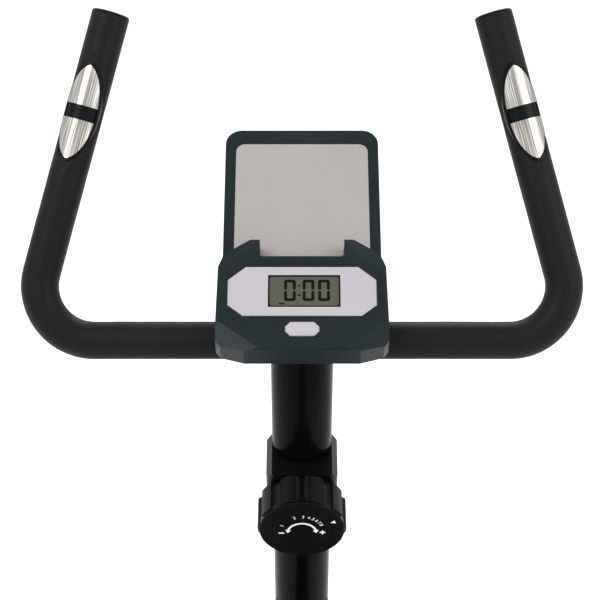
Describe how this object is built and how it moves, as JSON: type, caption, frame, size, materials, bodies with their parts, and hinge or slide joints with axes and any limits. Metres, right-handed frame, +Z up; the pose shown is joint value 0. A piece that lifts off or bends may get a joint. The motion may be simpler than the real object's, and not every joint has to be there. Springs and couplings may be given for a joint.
{
  "type": "indoor spin bike",
  "caption": "Upright indoor exercise bike with a belt-driven magnetic flywheel, U-shaped handlebar, console with tablet holder, tension knob and sliding seat.",
  "frame": {"origin": "on the floor, under the middle of the footprint", "axes": "+X to the rider's right, +Y forwards, +Z up"},
  "size_m": [0.5, 0.91, 1.2575],
  "materials": {
    "frame_paint": "satin black paint",
    "post_paint": "gloss black paint",
    "steel": "zinc-plated steel",
    "cast_steel": "machined cast iron",
    "chrome": "polished",
    "black_plastic": "fine texture",
    "console_plastic": "satin dark blue-grey",
    "silver_plastic": "silver paint",
    "light_plastic": "smooth light grey",
    "lcd": "flat display",
    "rubber": "matt",
    "foam": "foam skin",
    "vinyl": "black vinyl cover",
    "grey_plastic": "satin",
    "magnet": "nickel plate",
    "battery": "wrapped cell"
  },
  "bodies": {
    "frame": {"main_frame": "frame_paint", "stabilisers": "frame_paint", "base_bolts": "steel", "end_caps": "black_plastic", "floor_pads": "rubber", "wheel_axles": "steel", "drive_belt": "rubber", "ball_bearings": "steel", "idler_arm": "steel", "carrier_pivot_pin": "steel", "seat_tube_bush": "black_plastic", "front_post": "post_paint", "post_bolts": "steel", "tension_housing": "black_plastic", "tension_dial": "black_plastic", "tension_cable": "rubber", "handlebar": "frame_paint", "handlebar_clamp": "frame_paint", "clamp_screws": "steel", "handlebar_grips": "foam", "pulse_bases": "black_plastic", "pulse_plates": "chrome", "console_front": "console_plastic", "console_rear": "console_plastic", "console_fascia": "silver_plastic", "lcd_display": "lcd", "tablet_insert": "light_plastic", "console_bracket": "steel", "batteries": "battery", "console_screws": "steel", "shroud_left": "black_plastic", "shroud_right": "black_plastic", "shroud_screws": "steel"},
    "crank": {"crank_axle": "steel", "crank_arms": "steel", "crank_bolt_caps": "black_plastic", "crank_discs": "grey_plastic", "drive_pulley": "grey_plastic", "pedal_spindles": "steel"},
    "flywheel": {"flywheel": "cast_steel", "flywheel_shaft": "steel"},
    "idler": {"idler_wheel": "black_plastic"},
    "magnet_carrier": {"magnet_carrier": "steel", "brake_magnets": "magnet"},
    "pedal_left": {"pedal_left": "black_plastic", "pedal_strap_left": "rubber"},
    "pedal_right": {"pedal_right": "black_plastic", "pedal_strap_right": "rubber"},
    "seat": {"seat_post": "chrome", "saddle_clamp": "steel", "saddle_rails": "steel", "saddle_base": "black_plastic", "saddle_pad": "vinyl"},
    "seat_pin": {"seat_pin": "black_plastic"},
    "tension_knob": {"tension_knob": "black_plastic", "cable_drum": "grey_plastic"},
    "mode_button": {"mode_button": "silver_plastic"},
    "wheel_left": {"transport_wheel_left": "grey_plastic"},
    "wheel_right": {"transport_wheel_right": "grey_plastic"},
    "battery_cover": {"battery_cover": "console_plastic"}
  },
  "joints": [
    {"name": "crank_spin", "type": "hinge", "parent": "frame", "child": "crank", "pos_m": [0, -0.07, 0.31], "axis": [1, 0, 0], "continuous": true},
    {"name": "flywheel_spin", "type": "hinge", "parent": "frame", "child": "flywheel", "pos_m": [0, 0.18, 0.3], "axis": [1, 0, 0], "continuous": true},
    {"name": "idler_spin", "type": "hinge", "parent": "frame", "child": "idler", "pos_m": [0.049, 0.08258, 0.22932], "axis": [1, 0, 0], "continuous": true},
    {"name": "magnet_swing", "type": "hinge", "parent": "frame", "child": "magnet_carrier", "pos_m": [0, 0.07888, 0.38485], "axis": [1, 0, 0], "range_deg": [0, 6]},
    {"name": "pedal_left_spin", "type": "hinge", "parent": "crank", "child": "pedal_left", "pos_m": [-0.146, -0.20516, 0.40464], "axis": [1, 0, 0], "continuous": true},
    {"name": "pedal_right_spin", "type": "hinge", "parent": "crank", "child": "pedal_right", "pos_m": [0.146, 0.06516, 0.21536], "axis": [1, 0, 0], "continuous": true},
    {"name": "seat_slide", "type": "slide", "parent": "frame", "child": "seat", "axis": [0, -0.3746, 0.9272], "range_m": [-0.08, 0.08]},
    {"name": "seat_pin_slide", "type": "slide", "parent": "frame", "child": "seat_pin", "axis": [0, 0.9272, 0.3746], "range_m": [0, 0.006]},
    {"name": "tension_knob_turn", "type": "hinge", "parent": "frame", "child": "tension_knob", "pos_m": [0, 0.20609, 0.84589], "axis": [0, -0.9397, -0.342], "range_deg": [0, 136]},
    {"name": "mode_button_press", "type": "slide", "parent": "frame", "child": "mode_button", "axis": [0, 0.6157, -0.788], "range_m": [0, 0.0012], "stiffness_N_per_m": 400},
    {"name": "wheel_left_spin", "type": "hinge", "parent": "frame", "child": "wheel_left", "pos_m": [-0.2275, 0.431, 0.03], "axis": [1, 0, 0], "continuous": true},
    {"name": "wheel_right_spin", "type": "hinge", "parent": "frame", "child": "wheel_right", "pos_m": [0.2275, 0.431, 0.03], "axis": [1, 0, 0], "continuous": true},
    {"name": "battery_cover_slide", "type": "slide", "parent": "frame", "child": "battery_cover", "axis": [1, 0, 0], "range_m": [0, 0.03]}
  ],
  "couplings": [
    {"joint": "flywheel_spin", "follows": "crank_spin", "ratio": 6.5718},
    {"joint": "idler_spin", "follows": "crank_spin", "ratio": -5.0816},
    {"joint": "magnet_swing", "follows": "tension_knob_turn", "ratio": 0.044118}
  ]
}
